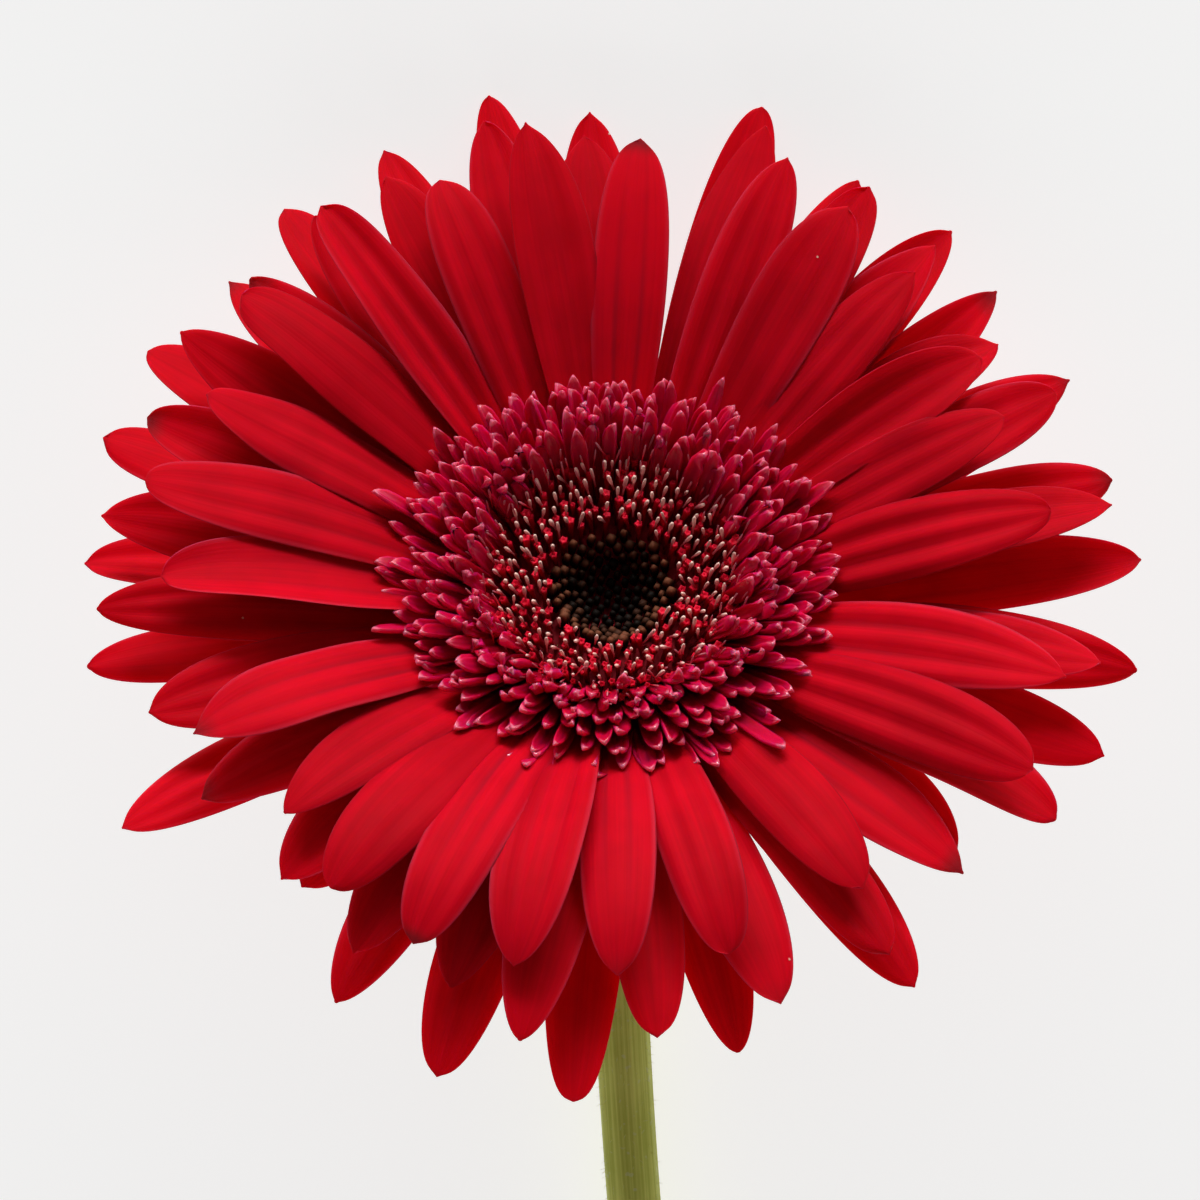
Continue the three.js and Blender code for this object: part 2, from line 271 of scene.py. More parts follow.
def add_piece(name, points, marks, material, slot, *nodes):
    """Makes one piece of closed tubes, with its marks as attributes, on the frame's one body.

    It takes its finish from the material, and stands for the nodes. The slot is not used.
    """
    tubes, along, around = points.shape[:3]
    quads, triangles = skin(along, around)
    starts = (np.arange(tubes) * along * around)[:, None, None]
    faces = (quads + starts).reshape(-1, 4).tolist()
    faces += (triangles + starts).reshape(-1, 3).tolist()
    mesh = bpy.data.meshes.new(name)
    mesh.from_pydata(points.reshape(-1, 3), [], faces)
    for mark, values in marks.items():
        attribute = mesh.attributes.new(mark, "FLOAT", "POINT")
        attribute.data.foreach_set("value", np.ascontiguousarray(values, np.float32).ravel())
    mesh.polygons.foreach_set("use_smooth", np.ones(len(mesh.polygons), bool))
    mesh.materials.append(material)
    mesh.update()
    piece = bpy.data.objects.new(name, mesh)
    bpy.context.scene.collection.objects.link(piece)
    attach(piece, BODY)
    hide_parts(*nodes)


def with_tone(made, tone):
    """The same points and marks, with one tone for each tube."""
    points, marks = made
    return marked(points, **marks, tone=np.reshape(tone, (-1, 1, 1)))


def only(made, chosen):
    """The chosen tubes out of a set of points and marks."""
    points, marks = made
    return points[chosen], {mark: values[chosen] for mark, values in marks.items()}


def spiral(places, inner, outer, turn=0.0):
    """Azimuths and radii of a seed-head spiral: golden-angle turns, evenly spread over the ring."""
    order = (np.arange(places) + 0.5) / places
    return np.arange(places) * GOLDEN_ANGLE + turn, np.sqrt(inner**2 + (outer**2 - inner**2) * order)


def on_head(azimuth, radius, height):
    """Points in the frame's axes from azimuth, radius and height in the head's."""
    return from_head(np.stack([radius * np.cos(azimuth), radius * np.sin(azimuth), height], -1))


# --- Materials: a node tree written as sums -------------------------------------------------------

class Wire:
    """A node's output socket. Sums, products and powers of wires and numbers add Math nodes."""

    def __init__(self, paint, socket):
        self.paint = paint
        self.socket = socket

    def maths(self, operation, first, second=0.0):
        return self.paint.node("ShaderNodeMath", {"operation": operation}, {0: first, 1: second})

    def __add__(self, other):
        return self.maths("ADD", self, other)

    def __mul__(self, other):
        return self.maths("MULTIPLY", self, other)

    def __sub__(self, other):
        return self.maths("SUBTRACT", self, other)

    def __rsub__(self, other):
        return self.maths("SUBTRACT", other, self)

    def __pow__(self, other):
        return self.maths("POWER", self, other)

    def __abs__(self):
        return self.maths("ABSOLUTE", self)

    __radd__ = __add__
    __rmul__ = __mul__

    def cosine(self):
        return self.maths("COSINE", self)

    def between(self, low, high):
        """0 below low, 1 above high, and an eased ramp between; low may be the larger."""
        limits = {"Value": self, "From Min": low, "From Max": high}
        return self.paint.node("ShaderNodeMapRange", {"interpolation_type": "SMOOTHSTEP"}, limits)


class Nodes:
    """A node tree, and the one way that nodes are added to it."""

    def __init__(self, tree):
        self.tree = tree
        self.tree.nodes.clear()

    def node(self, kind, settings=None, sockets=None, output=0):
        """Adds a node, makes its settings, then sets or links its sockets, and gives one output."""
        made = self.tree.nodes.new(kind)
        for name, value in (settings or {}).items():
            setattr(made, name, value)
        for name, value in (sockets or {}).items():
            if isinstance(value, Wire):
                self.tree.links.new(value.socket, made.inputs[name])
            else:
                made.inputs[name].default_value = value
        return Wire(self, made.outputs[output])

    def mix(self, share, low, high):
        """Colour low where share is 0 and high where it is 1, each a wire or what opaque() takes."""
        low, high = (each if isinstance(each, Wire) else opaque(each) for each in (low, high))
        settings = {"data_type": "RGBA", "clamp_factor": True}
        return self.node("ShaderNodeMix", settings, {0: share, 6: low, 7: high}, output=2)


class Paint(Nodes):
    """A material and its node tree."""

    def __init__(self, name):
        self.material = bpy.data.materials.new(name)
        self.material.use_nodes = True
        super().__init__(self.material.node_tree)

    def marks(self, *names):
        """The numbers of those names that the piece's mesh carries."""
        settings = [{"attribute_name": name} for name in names]
        return [self.node("ShaderNodeAttribute", each, output="Fac") for each in settings]

    def place(self):
        """Where a point is, in the frame's axes."""
        return self.node("ShaderNodeTexCoord", output="Object")

    def vector(self, x, y, z):
        return self.node("ShaderNodeCombineXYZ", sockets={"X": x, "Y": y, "Z": z})

    def noise(self, vector, scale, detail):
        """Cloudy noise from 0 to 1, about 0.5 on average."""
        sockets = {"Vector": vector, "Scale": scale, "Detail": detail}
        return self.node("ShaderNodeTexNoise", sockets=sockets)

    def bump(self, height, distance):
        """Normals of a relief whose height of 1 stands that many metres proud."""
        return self.node("ShaderNodeBump", sockets={"Height": height, "Distance": distance})

    def finish(self, sockets):
        """Puts a Principled shader with these sockets on the material, and gives the material."""
        shader = self.node("ShaderNodeBsdfPrincipled", sockets=sockets)
        output = self.tree.nodes.new("ShaderNodeOutputMaterial")
        self.tree.links.new(shader.socket, output.inputs["Surface"])
        return self.material


def opaque(colour):
    """A colour, or the flower's colour of that name, as the four numbers that a socket takes."""
    if isinstance(colour, str):
        colour = getattr(bpy.context.scene.gerbera_colours, colour)
    return (*colour, 1.0)


def petal_velvet():
    """Red velvet: lengthwise streaks, painted purple shade in the grooves, painted shade at the foot,
    painted sheen along the edges, a thin brown rim, pollen specks.
    """
    paint = Paint("petal_velvet")
    across, along, tone, face = paint.marks("across", "along", "tone", "face")
    place = paint.place()
    lines = paint.vector(across * 7, along * 1.3, tone * 37)
    streaks = paint.noise(lines, 1.0, 3.0)
    fine = paint.noise(paint.vector(across * 26, along * 2.0, tone * 91), 1.0, 1.0)
    clouds = paint.noise(place, 160.0, 2.0)
    shade = streaks * 0.5 + clouds * 0.5 + (tone - 0.5) * 0.25 + (fine - 0.5) * 0.12
    colour = paint.mix(shade.between(0.25, 0.75), "deep_red", "bright_red")
    # Painted shade: the two grooves are darkened towards purple, more towards the foot and less near the
    # edges.
    groove_shade = 1 - abs(((across + (streaks - 0.5) * 0.12) * (1.5 * math.pi)).cosine())
    groove_shade = groove_shade.between(0.1, 1.0) ** 1.6 * abs(across).between(0.85, 0.6) * along.between(1.0, 0.3)
    colour = paint.mix(groove_shade * tone.between(0.35, 1.0) * 0.5, colour, "painted_groove_shade")
    # Painted shade: darker towards the foot, where the petals pass under the tongue florets.
    colour = paint.mix(along.between(0.30, 0.0) * 0.55, colour, "painted_foot_shade")
    under = face.between(0.0, -0.25)
    colour = paint.mix(under * 0.6, colour, "petal_back")
    rim = (abs(across) + (fine - 0.5) * 0.03).between(0.955, 0.99) * along.between(0.3, 0.6)
    tip = (along + (streaks - 0.5) * 0.03).between(0.982, 0.997)
    # Painted sheen: a pale pink fringe along the edges of some petals.
    fringe = abs(across).between(0.84, 0.98) * tone.between(0.2, 0.6) * along.between(0.15, 0.5)
    colour = paint.mix(fringe * 0.22, colour, "painted_edge_sheen")
    colour = paint.mix(rim * 0.4 + tip * 0.2, colour, "rim_brown")
    bruise = (along + (clouds - 0.5) * 0.12).between(0.93, 1.0) * tone.between(0.80, 0.84)
    colour = paint.mix(bruise * 0.8, colour, "rim_brown")
    cells = {"Vector": place, "Scale": 210.0}
    grain = paint.node("ShaderNodeTexVoronoi", sockets=cells, output="Distance")
    kept = paint.noise(place, 95.0, 1.0).between(0.57, 0.60)
    speck = grain.between(0.034, 0.022) * kept
    colour = paint.mix(speck * 0.8, colour, "pollen")
    veins = (across * 52).cosine() * 0.1 + fine * 0.6 + streaks
    roughness = 0.56 + streaks * 0.2 + under * 0.1
    return paint.finish({
        "Base Color": colour,
        "Roughness": roughness,
        "Specular IOR Level": 0.04,
        "Subsurface Weight": 0.5,
        "Subsurface Radius": (1.0, 0.08, 0.12),
        "Subsurface Scale": 2.0 * MM,
        "Sheen Weight": 0.016,
        "Sheen Roughness": 0.35,
        "Sheen Tint": (1.0, 0.42, 0.52, 1.0),
        "Normal": paint.bump(veins + speck * 3, 0.02 * MM),
    })


def tongue_gloss():
    """Magenta crimson tongues: dark at the foot, brighter on the outer side, with painted highlights at
    the tips.
    """
    paint = Paint("tongue_gloss")
    across, along, tone, face = paint.marks("across", "along", "tone", "face")
    cloud = paint.noise(paint.place(), 900.0, 1.0)
    colour = paint.mix(along.between(0.35, 0.9), "tongue_foot", "tongue")
    outside = face.between(0.1, -0.3)
    lit = outside * 0.6 + along.between(0.8, 1.0) * 0.2 + (tone - 0.5) * 0.3 + (cloud - 0.5) * 0.3
    colour = paint.mix(lit * along.between(0.3, 0.8), colour, "tongue_edge")
    # Painted highlights: pale pink at the very tips, and faintly along the edges near them.
    edge = abs(across).between(0.85, 1.0) * along.between(0.7, 0.95)
    tip = (along + tone * 0.02 + (cloud - 0.5) * 0.04).between(0.965, 1.0)
    colour = paint.mix(edge * 0.02 + tip * 0.35, colour, "painted_tip_highlight")
    return paint.finish({
        "Base Color": colour,
        "Roughness": 0.42 - tip * 0.12,
        "Specular IOR Level": 0.15,
        "Coat Weight": along.between(0.75, 0.95) * 0.8,
        "Coat Roughness": 0.14,
        "Subsurface Weight": 0.6,
        "Subsurface Radius": (1.0, 0.08, 0.15),
        "Subsurface Scale": 1.2 * MM,
        "Normal": paint.bump((across * 9).cosine() + cloud, 0.015 * MM),
    })


def floret_flesh(name, base, end, dust, gloss):
    """Small soft parts of the disc: one colour at the foot, another at the end, dusted with pollen."""
    paint = Paint(name)
    along, tone = paint.marks("along", "tone")
    cloud = paint.noise(paint.place(), 1400.0, 2.0)
    shade = along + (tone - 0.5) * 0.4 + (cloud - 0.5) * 0.3
    colour = paint.mix(shade.between(0.15, 0.85), base, end)
    grain = paint.node("ShaderNodeTexVoronoi", sockets={"Vector": paint.place(), "Scale": 3000.0})
    colour = paint.mix(grain.between(0.25, 0.1) * dust, colour, "pollen")
    return paint.finish({
        "Base Color": colour,
        "Roughness": gloss + cloud * 0.15,
        "Specular IOR Level": 0.15,
        "Normal": paint.bump(cloud, 0.05 * MM),
    })


def bract_green():
    """Green skin with fine lengthwise lines, cloudy colour, brown tips and a soft bloom of down."""
    paint = Paint("bract_green")
    across, along, tone = paint.marks("across", "along", "tone")
    place = paint.place()
    cloud = paint.noise(place, 260.0, 3.0)
    lines = paint.noise(paint.vector(across * 7, along * 6, tone * 23), 1.0, 2.0)
    shade = cloud * 0.45 + lines * 0.55 + (tone - 0.5) * 0.3
    colour = paint.mix(shade.between(0.3, 0.7), "leaf", "leaf_light")
    colour = paint.mix(along.between(0.9, 1.0) * 0.8, colour, "bract_tip")
    return paint.finish({
        "Base Color": colour,
        "Roughness": 0.55 + lines * 0.2,
        "Specular IOR Level": 0.3,
        "Sheen Weight": 0.25,
        "Sheen Roughness": 0.5,
        "Sheen Tint": (0.9, 1.0, 0.8, 1.0),
        "Normal": paint.bump(lines + cloud, 0.06 * MM),
    })


def bud_skin():
    """Closed buds: brown with a lighter tip at the eye's edge, with painted shade that makes them nearly
    black in its sunken middle and at their feet.
    """
    paint = Paint("bud_skin")
    along, tone = paint.marks("along", "tone")
    cloud = paint.noise(paint.place(), 1800.0, 2.0)
    # Painted shade: the buds turn near black towards the middle of the sunken eye.
    outer = (tone + (cloud - 0.5) * 0.3).between(0.5, 1.0)
    tips = paint.mix(outer, "eye", "bud")
    # Painted shade: near black at the buds' feet, down between them.
    colour = paint.mix(along.between(0.3, 0.9), "bud_foot_shade", tips)
    return paint.finish({
        "Base Color": colour,
        "Roughness": 0.5 + cloud * 0.2,
        "Specular IOR Level": 0.10,
        "Normal": paint.bump(cloud, 0.05 * MM),
    })


# --- What a user may change -----------------------------------------------------------------------

def number(name, default, description, **kind):
    return bpy.props.FloatProperty(name=name, description=description, default=default, **kind)


def length(name, millimetres, description):
    """A size, written here in millimetres and kept in metres."""
    return number(name, millimetres * MM, description, min=0, unit="LENGTH")


def angle(name, degrees, description):
    return number(name, math.radians(degrees), description, unit="ROTATION")


def share(name, default, description):
    return number(name, default, description, subtype="FACTOR")


def watts(name, default, description):
    return number(name, default, description, unit="POWER")


def count(name, default, description):
    return bpy.props.IntProperty(name=name, description=description, default=default, min=4)


def tint(name, default, description):
    """A colour, as the share of red, green and blue light that it gives back."""
    return bpy.props.FloatVectorProperty(
        name=name, description=description, default=default, min=0, max=1, subtype="COLOR", size=3
    )


class PetalSizes(bpy.types.PropertyGroup):
    """Sizes of the ray petals; their tips come from the frame."""

    half_width: length("Half width", 4.15, "From a petal's middle line to its edge where it is widest")
    thickness: length("Thickness", 0.45, "Thickness of a petal along its middle line")
    pleat: length("Pleat", 0.40, "How far a petal's three long ridges stand above its two grooves")
    overlap: angle("Overlap", 9, "How far each petal rolls over the next, as shingles lie")
    swell: length("Swell", 3.2, "How far the petals on the stem's side arch up before their tips")


class FloretSizes(bpy.types.PropertyGroup):
    """Sizes and numbers of the florets of the disc."""

    tongues: count("Tongues", 400, "How many tongue florets stand between the petals and the disc")
    tongue_half_width: length("Tongue half width", 0.86, "Half the width of a tongue floret")
    stragglers: count("Stragglers", 18, "How many tongues are longer, less those that fall too far in")
    cups: count("Open florets", 340, "How many open florets make the disc's ring")
    cup_girth: length("Floret girth", 0.42, "Radius of an open floret's mouth")
    club_girth: length("Style girth", 0.22, "Radius of the pale style that stands out of a floret")
    buds: count("Buds", 128, "How many closed buds fill the eye")
    eye_radius: length("Eye radius", 6.5, "Radius of the dark eye of closed buds")


class StemSizes(bpy.types.PropertyGroup):
    """Sizes of the stem; its ends come from the frame."""

    bend: share("Bend", 0.65, "Share of the neck's length that its bend takes up")
    slope: angle("Slope", 1, "How far the lying stem falls towards its cut end")
    cut: angle("Cut", 35, "How far the cut is slanted")
    hairs: count("Hairs", 2600, "How many short hairs the stem has, less those against the table")
    hair_length: length("Hair length", 0.7, "Length of a usual hair")


class BractSizes(bpy.types.PropertyGroup):
    """Sizes of the green bracts under the head; their tips come from the frame."""

    half_width: length("Half width", 1.55, "From a bract's middle line to its edge")
    thickness: length("Thickness", 0.55, "Thickness of a bract along its middle line")


class FlowerColours(bpy.types.PropertyGroup):
    """Colours of the flower."""

    bright_red: tint("Bright red", (0.60, 0.0006, 0.0110), "Petals at their brightest")
    deep_red: tint("Deep red", (0.42, 0.0003, 0.0070), "Petals at their darkest")
    # Painted shade along the petals' grooves.
    painted_groove_shade: tint("Groove purple", (0.16, 0.004, 0.014), "Along a petal's two grooves")
    # Painted shade on the petals near the disc.
    painted_foot_shade: tint("Foot crimson", (0.20, 0.0003, 0.006), "Petals near the disc")
    petal_back: tint("Petal back", (0.40, 0.012, 0.035), "Undersides of the petals")
    # Painted sheen along the petals' edges.
    painted_edge_sheen: tint("Edge pink", (0.70, 0.060, 0.120), "Paler fringe along the petals' edges")
    rim_brown: tint("Rim brown", (0.085, 0.010, 0.014), "Petal edges and bruised tips")
    pollen: tint("Pollen", (0.80, 0.55, 0.45), "Grains of pollen")
    tongue_foot: tint("Tongue foot", (0.28, 0.0004, 0.009), "Tongue florets near the disc")
    tongue: tint("Tongue", (0.54, 0.0006, 0.034), "Tongue florets")
    tongue_edge: tint("Tongue edge", (0.80, 0.006, 0.160), "Outer sides of the tongue florets")
    # Painted highlight at the tips of the tongue florets.
    painted_tip_highlight: tint("Tongue tip", (1.00, 0.38, 0.50), "Tips of the tongue florets")
    cup_foot: tint("Floret foot", (0.36, 0.0005, 0.012), "Open florets at the foot")
    cup: tint("Floret", (0.80, 0.0016, 0.032), "Lobes of the open florets")
    style_foot: tint("Style foot", (0.60, 0.120, 0.150), "Styles at the foot")
    style: tint("Style", (1.00, 0.68, 0.58), "Styles at the end")
    slim_style: tint("Slim style", (0.62, 0.220, 0.270), "The slim styles of the outer florets")
    # Painted shade at the feet of the buds.
    bud_foot_shade: tint("Bud foot", (0.006, 0.0015, 0.001), "Closed buds at the foot")
    bud: tint("Bud", (0.190, 0.060, 0.028), "Tips of the closed buds at the eye's edge")
    # Painted shade: the near black of the buds in the sunken middle of the eye.
    eye: tint("Eye", (0.006, 0.0035, 0.002), "Tips of the closed buds in the middle")
    leaf: tint("Leaf", (0.115, 0.200, 0.035), "Bracts")
    leaf_light: tint("Light leaf", (0.230, 0.330, 0.085), "Lighter lines of the bracts")
    bract_tip: tint("Bract tip", (0.190, 0.060, 0.030), "Tips of the bracts")
    stem: tint("Stem", (0.450, 0.490, 0.060), "Stem")
    stem_light: tint("Light stem", (0.680, 0.710, 0.150), "Lighter lines of the stem")
    pith: tint("Pith", (0.620, 0.680, 0.400), "The cut end of the stem")
    down: tint("Down", (0.620, 0.660, 0.420), "Hairs of the stem")


class StudioSettings(bpy.types.PropertyGroup):
    """Camera, lights and floor."""

    elevation: angle("Camera elevation", 74, "How steeply the camera looks down on the table")
    distance: length("Camera distance", 450, "From the camera to the head's centre")
    field: length("Field", 126.5, "Width of the picture at the head's centre")
    aside: length("Aside", 1.265, "How far the camera's aim lies beside the head's centre")
    over: length("Over", 0.63, "How far the camera's aim lies over the head's centre")
    key_elevation: angle("Key elevation", 4, "Height of the main light above the table")
    key_power: watts("Key power", 35, "Main light")
    back_elevation: angle("Back elevation", 32, "Height of the light on the stem's side")
    back_power: watts("Back power", 28, "The light on the stem's side")
    walls: share("Wall", 0.55, "Brightness of the wall on the face's side")
    ceiling: share("Ceiling", 0.07, "Brightness of the rest of the room")
    backdrop: tint("Backdrop", (0.87, 0.87, 0.865), "What is seen beyond the floor")
    floor: tint("Floor", (0.50, 0.50, 0.498), "Floor")
    floor_glow: share("Floor glow", 0.71, "Light that the floor gives off, like a sheet lit from below")


# --- The pieces -----------------------------------------------------------------------------------

def petal_grid(tips, foot_height, sizes, overlap, seed):
    """A row of ray petals up to its tips.

    Petals on the stem's side (azimuths near three quarters of a turn) arch higher and droop at the
    tip. One petal in six is folded into a trough, and the others are nearly flat across.
    """
    rng = np.random.default_rng(seed)
    petals = len(tips)
    near = np.clip(-np.sin(tips[:, 0]), 0, 1)
    folded = rng.random(petals) < 0.17
    form = PLAIN_BLADE | {
        "half_width": sizes.half_width * rng.uniform(0.90, 1.08, petals),
        "thickness": sizes.thickness,
        "arch": rng.uniform(0.50, 0.66, petals),
        "swell": near * sizes.swell * rng.uniform(0.6, 1.1, petals) + rng.uniform(-0.3, 0.6, petals) * MM,
        "curl": rng.normal(0, 0.7, petals) * MM * (1 - near),
        "bend": rng.normal(0, 0.9, petals) * MM,
        "roll": overlap * rng.uniform(0.8, 1.25, petals),
        "twist": rng.normal(0, math.radians(5), petals),
        "widest": rng.uniform(0.54, 0.66, petals),
        "neck": rng.uniform(0.28, 0.36, petals),
        "blunt": rng.uniform(0.40, 0.66, petals),
        "cup": np.where(folded, 0.34, rng.uniform(-0.06, 0.14, petals)) - 0.10 * near,
        "pleat": sizes.pleat * rng.choice([0.25, 0.6, 1.0, 1.5], petals),
        "ripple": rng.uniform(0.1, 0.5, petals) * MM,
        "waves": rng.uniform(1.2, 2.4, petals),
        "phase": rng.uniform(0, math.tau, petals),
        "round": rng.uniform(0.0, 0.5, petals) * MM,
    }
    feet = np.column_stack([np.full(petals, CAP_RADIUS - 0.2 * MM), np.full(petals, foot_height)])
    made = with_tone(blades(feet, tips, form, along=46, around=44), rng.random(petals))
    return above_table(made[0], TABLE_CLEARANCE), made[1]


def add_petals(prefix, slot, nodes, foot_height, seed):
    """One piece for each petal of a row, each named with the prefix and its place in the row."""
    sizes = bpy.context.scene.gerbera_petals
    made = petal_grid(petal_tips(nodes), foot_height, sizes, sizes.overlap, seed)
    material = material_named("petal_velvet", petal_velvet)
    for order, node in enumerate(nodes):
        one = slice(order, order + 1)
        add_piece(f"{prefix}_{order + 1:02d}", *only(made, one), material, slot, node)


def material_named(name, make):
    """The material of that name, made if it isn't there yet."""
    return bpy.data.materials.get(name) or make()


class GERBERA_OT_lower_petals(bpy.types.Operator):
    """Adds the lower row of petals, one piece each"""

    bl_idname = "gerbera.lower_petals"
    bl_label = "Add lower petals"

    def execute(self, context):
        add_petals("lower_petal", "petals_lower", LOWER_NODES, LOWER_FOOT, seed=11)
        return {"FINISHED"}


class GERBERA_OT_middle_petals(bpy.types.Operator):
    """Adds the middle row of petals as one piece"""

    bl_idname = "gerbera.middle_petals"
    bl_label = "Add middle petals"

    def execute(self, context):
        sizes = context.scene.gerbera_petals
        made = petal_grid(ring_tips("petals_middle"), MIDDLE_FOOT, sizes, -sizes.overlap, seed=23)
        material = material_named("petal_velvet", petal_velvet)
        add_piece("middle_petals", *made, material, "petals_middle", "petals_middle")
        return {"FINISHED"}


class GERBERA_OT_front_petals(bpy.types.Operator):
    """Adds the front row of petals, one piece each"""

    bl_idname = "gerbera.front_petals"
    bl_label = "Add front petals"

    def execute(self, context):
        add_petals("front_petal", "petals_front", FRONT_NODES, FRONT_FOOT, seed=37)
        return {"FINISHED"}


class GERBERA_OT_tongue_florets(bpy.types.Operator):
    """Adds the three rings of small tongue florets between the petals and the disc"""

    bl_idname = "gerbera.tongue_florets"
    bl_label = "Add tongue florets"

    def execute(self, context):
        """Tips on a spiral over TONGUE_RING, drawn in on the table's side.

        With place from 0 at the inmost tip to 1 at the outmost, a tip's height is 11.2 mm, plus 0.9 mm
        times the sine of 1.3 pi place, or of pi if that is less, and less 1.3 mm times place squared. A
        straggler reaches 2 to 4.5 mm farther, and its tip rises with its radius, over the petals.
        """
        sizes = context.scene.gerbera_florets
        rng = np.random.default_rng(5)
        tongues = sizes.tongues
        azimuth, radius = spiral(tongues, *TONGUE_RING)
        azimuth = azimuth + rng.normal(0, 0.03, tongues)
        place = (radius - radius.min()) / (radius.max() - radius.min())
        radius = radius * (1 - 0.10 * place * np.clip(np.sin(azimuth), 0, 1))
        radius = radius + rng.normal(0, 0.5, tongues) * MM
        height = (11.2 + 0.9 * np.sin(math.pi * np.clip(1.3 * place, 0, 1)) - 1.3 * place**2) * MM
        height = height + rng.normal(0, 0.5, tongues) * MM
        straggler = rng.permutation(tongues) < sizes.stragglers
        straggler &= place > 0.35
        radius = np.where(straggler, radius + rng.uniform(2.0, 4.5, tongues) * MM, radius)
        height = np.where(straggler, 8.4 * MM + 0.58 * (radius - 20 * MM), height)
        feet = np.column_stack([(10.8 + 1.0 * place) * MM, np.full(tongues, TONGUE_FOOT)])
        form = PLAIN_BLADE | {
            "half_width": sizes.tongue_half_width * rng.uniform(0.75, 1.15, tongues),
            "thickness": 0.8 * MM,
            "arch": 0.15 - 0.35 * place,
            "hook": rng.uniform(0.0, 1.3, tongues) * MM,
            "curl": rng.uniform(0.0, 1.2, tongues) * MM,
            "bend": rng.normal(0, 0.6, tongues) * MM,
            "roll": rng.normal(0, 0.25, tongues),
            "twist": rng.normal(0, 0.35, tongues),
            "widest": 0.84,
            "neck": 0.55,
            "blunt": rng.uniform(0.42, 0.60, tongues),
            "end": 0.2,
            "round": 0.1 * MM,
            "cup": rng.uniform(0.4, 1.0, tongues),
        }
        tips = np.column_stack([azimuth, radius, height])
        made = with_tone(blades(feet, tips, form, along=12, around=8), rng.random(tongues))
        material = material_named("tongue_gloss", tongue_gloss)
        for ring, low, high in (("inner", -1, 0.33), ("middle", 0.33, 0.66), ("outer", 0.66, 2)):
            own = only(made, (place >= low) & (place < high))
            add_piece(f"tongue_florets_{ring}", *own, material, "trans_florets", f"trans_florets_{ring}")
        return {"FINISHED"}


class GERBERA_OT_disc_florets(bpy.types.Operator):
    """Adds the ring of open disc florets and the pale styles that stand out of them"""

    bl_idname = "gerbera.disc_florets"
    bl_label = "Add disc florets"

    def execute(self, context):
        """Cups on a spiral round the eye, leaning farther out and standing higher away from it.

        A club stands out of each of the inner ones, and a longer slim style out of each of the outer
        ones. Those in a narrow ring between them have both.
        """
        sizes = context.scene.gerbera_florets
        rng = np.random.default_rng(7)
        cups = sizes.cups
        azimuth, radius = spiral(cups, sizes.eye_radius + 0.3 * MM, FLORET_RING_EDGE, turn=0.8)
        azimuth = azimuth + rng.normal(0, 0.02, cups)
        place = (radius - radius.min()) / (radius.max() - radius.min())
        lean = 0.10 + 0.24 * place
        mouth = (6.4 + 2.0 * place) * MM + rng.normal(0, 0.3, cups) * MM
        foot_radius = radius - (mouth - FLORET_FOOT) * lean
        foot = on_head(azimuth, foot_radius, np.full(cups, FLORET_FOOT))
        tops = on_head(azimuth, radius, mouth)
        flare = [(0, 0.5), (0.6, 0.6), (0.86, 0.85), (0.95, 1.0), (0.99, 0.92), (1.0, 0.6), (0.96, 0.2)]
        girth = sizes.cup_girth * rng.uniform(0.7, 1.2, cups)
        nod = rng.normal(0, 0.35, (cups, 3)) * MM
        made = with_tone(rods(foot, tops + nod, girth, flare, around=10, lobes=0.16), rng.random(cups))
        flesh = floret_flesh("floret_red", "cup_foot", "cup", 0.04, 0.4)
        add_piece("open_florets", *made, flesh, "disc_florets", "disc_florets")

        creamy = floret_flesh("style_cream", "style_foot", "style", 0.4, 0.3)
        dusky = floret_flesh("style_dusky", "cup", "slim_style", 0.2, 0.35)
        rounded = [(0, 0.5), (0.4, 0.55), (0.55, 0.9), (0.8, 1.0), (0.95, 0.75), (1.0, 0.35)]
        kinds = (
            ("clubs", place < 0.72, (1.5, 2.3), (0.8, 1.2), creamy),
            ("slim_styles", place > 0.55, (2.2, 3.6), (0.42, 0.55), dusky),
        )
        for name, chosen, reach, slimness, material in kinds:
            heading = unit(unit(tops - foot) + rng.normal(0, 0.18, (cups, 3)))
            ends = tops + heading * rng.uniform(*reach, (cups, 1)) * MM
            girth = sizes.club_girth * rng.uniform(*slimness, cups)
            roots = tops - heading * 0.4 * MM
            made = with_tone(rods(roots, ends, girth, rounded, around=6), rng.random(cups))
            add_piece(name, *only(made, chosen), material, "disc_florets", "disc_florets")
        return {"FINISHED"}


class GERBERA_OT_eye_buds(bpy.types.Operator):
    """Adds the dark eye of closed buds in its sunken middle"""

    bl_idname = "gerbera.eye_buds"
    bl_label = "Add eye buds"

    def execute(self, context):
        """Knobs on a spiral in a bowl that rises 4.4 mm, with the square of the radius, to its edge."""
        sizes = context.scene.gerbera_florets
        rng = np.random.default_rng(3)
        buds = sizes.buds
        azimuth, radius = spiral(buds, 0, sizes.eye_radius)
        place = radius / sizes.eye_radius
        floor = (4.4 * place**2 - 0.6) * MM
        tall = (0.8 + 1.3 * place**2) * MM * rng.uniform(0.8, 1.2, buds)
        foot = on_head(azimuth, radius, floor - 0.6 * MM)
        tops = on_head(azimuth, radius - 0.25 * MM * place, floor + tall + rng.normal(0, 0.1, buds) * MM)
        girth = (0.40 + 0.16 * place) * MM * rng.uniform(0.8, 1.15, buds)
        knob = [(0, 0.7), (0.5, 0.95), (0.75, 1.0), (0.9, 0.8), (0.98, 0.45), (1.0, 0.15)]
        shade = place + rng.normal(0, 0.12, buds)
        made = with_tone(rods(foot, tops, girth, knob, around=8, lobes=0.10), shade)
        add_piece("eye_buds", *made, bud_skin(), "disc_buds", "disc_buds")
        return {"FINISHED"}


